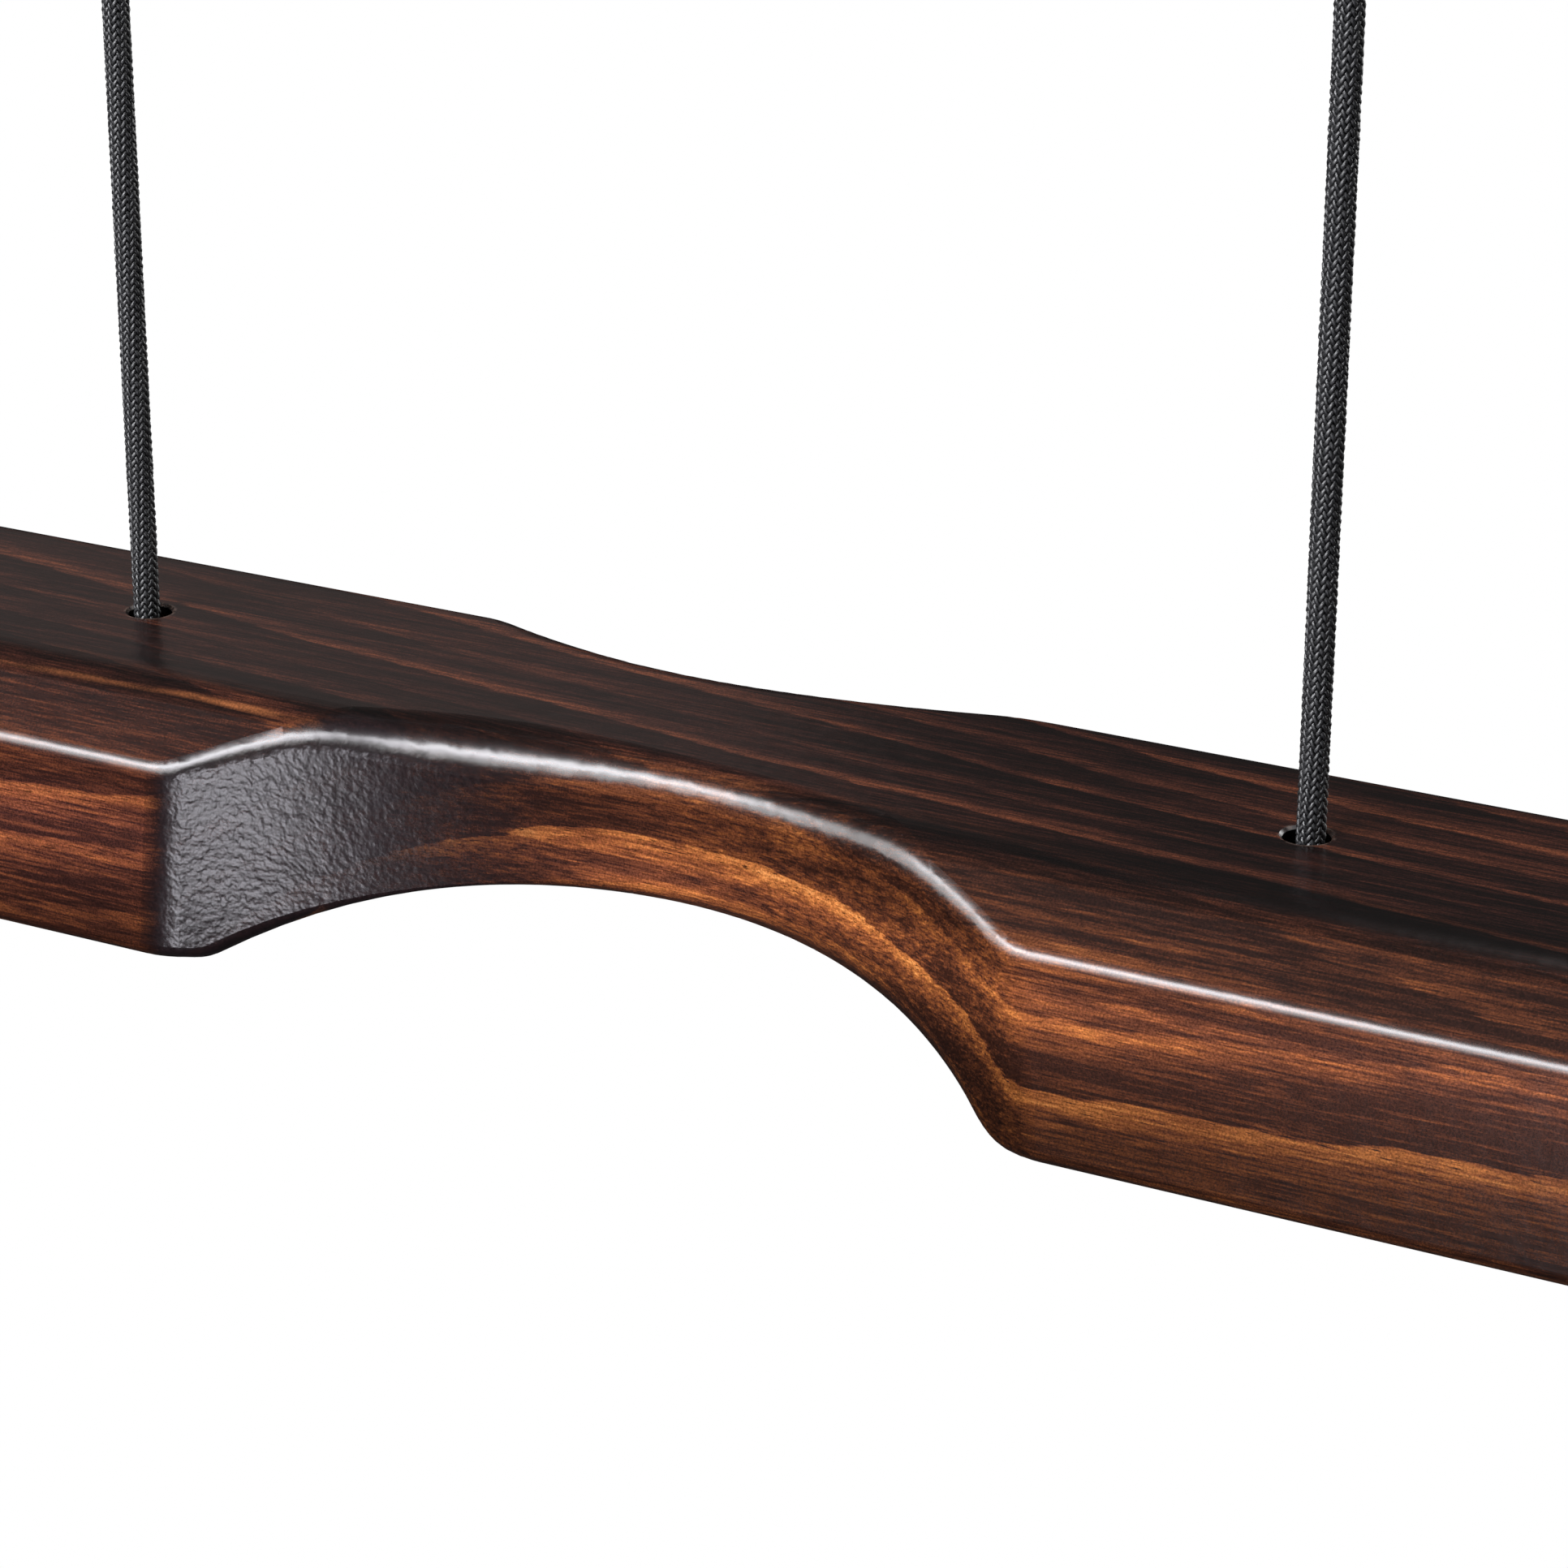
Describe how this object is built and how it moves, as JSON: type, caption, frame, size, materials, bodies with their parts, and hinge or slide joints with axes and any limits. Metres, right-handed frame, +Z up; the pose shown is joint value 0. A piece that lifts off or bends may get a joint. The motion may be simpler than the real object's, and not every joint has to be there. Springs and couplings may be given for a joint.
{
  "type": "hanging grab rail",
  "caption": "Level wooden hand-grip bar, narrowed and arched in the middle, hung from overhead pad eyes by upright braided cords with shackles, thimbles and knots.",
  "frame": {"origin": "on the surface overhead, midway between the two pad eyes", "axes": "+X along the bar towards the right cord as the picture shows it, +Y across the bar away from the viewer, +Z up"},
  "size_m": [0.4572, 0.084, 0.2692],
  "materials": {
    "lacquered_wood": "semi-gloss lacquer over dark stain",
    "braided_cord": "black polyester braid, slightly shiny",
    "whipping_twine": "waxed black twine",
    "stainless_steel": "polished stainless steel"
  },
  "bodies": {
    "pad_eyes": {"left_pad_eye": "stainless_steel", "right_pad_eye": "stainless_steel"},
    "left_shackle_set": {"left_shackle": "stainless_steel", "left_shackle_pin": "stainless_steel"},
    "left_cord_set": {"left_thimble": "stainless_steel", "left_cord_loop": "braided_cord", "left_whipping": "whipping_twine", "left_cord": "braided_cord"},
    "bar": {"grip_bar": "lacquered_wood", "left_cord_tail": "braided_cord", "left_washer": "stainless_steel", "left_stopper_knot": "braided_cord", "right_cord_tail": "braided_cord", "right_washer": "stainless_steel", "right_stopper_knot": "braided_cord"},
    "right_cord_set": {"right_thimble": "stainless_steel", "right_cord_loop": "braided_cord", "right_whipping": "whipping_twine", "right_cord": "braided_cord"},
    "right_shackle_set": {"right_shackle": "stainless_steel", "right_shackle_pin": "stainless_steel"}
  },
  "joints": [
    {"name": "left_swing", "type": "hinge", "parent": "pad_eyes", "child": "left_shackle_set", "pos_m": [-0.115, 0, -0.015], "axis": [1, 0, 0], "range_deg": [-25, 25]},
    {"name": "left_sway", "type": "hinge", "parent": "left_shackle_set", "child": "left_cord_set", "pos_m": [-0.115, 0, -0.0264], "axis": [0, 1, 0], "range_deg": [-10, 10]},
    {"name": "bar_level", "type": "hinge", "parent": "left_cord_set", "child": "bar", "pos_m": [-0.115, 0, -0.221], "axis": [0, 1, 0], "range_deg": [-10, 10]},
    {"name": "right_sway", "type": "hinge", "parent": "bar", "child": "right_cord_set", "pos_m": [0.115, 0, -0.221], "axis": [0, 1, 0], "range_deg": [-10, 10]},
    {"name": "right_swing", "type": "hinge", "parent": "pad_eyes", "child": "right_shackle_set", "pos_m": [0.115, 0, -0.015], "axis": [1, 0, 0], "range_deg": [-25, 25]}
  ],
  "couplings": [
    {"joint": "bar_level", "follows": "left_sway", "ratio": -1},
    {"joint": "right_sway", "follows": "left_sway", "ratio": 1},
    {"joint": "right_swing", "follows": "left_swing", "ratio": 1}
  ]
}
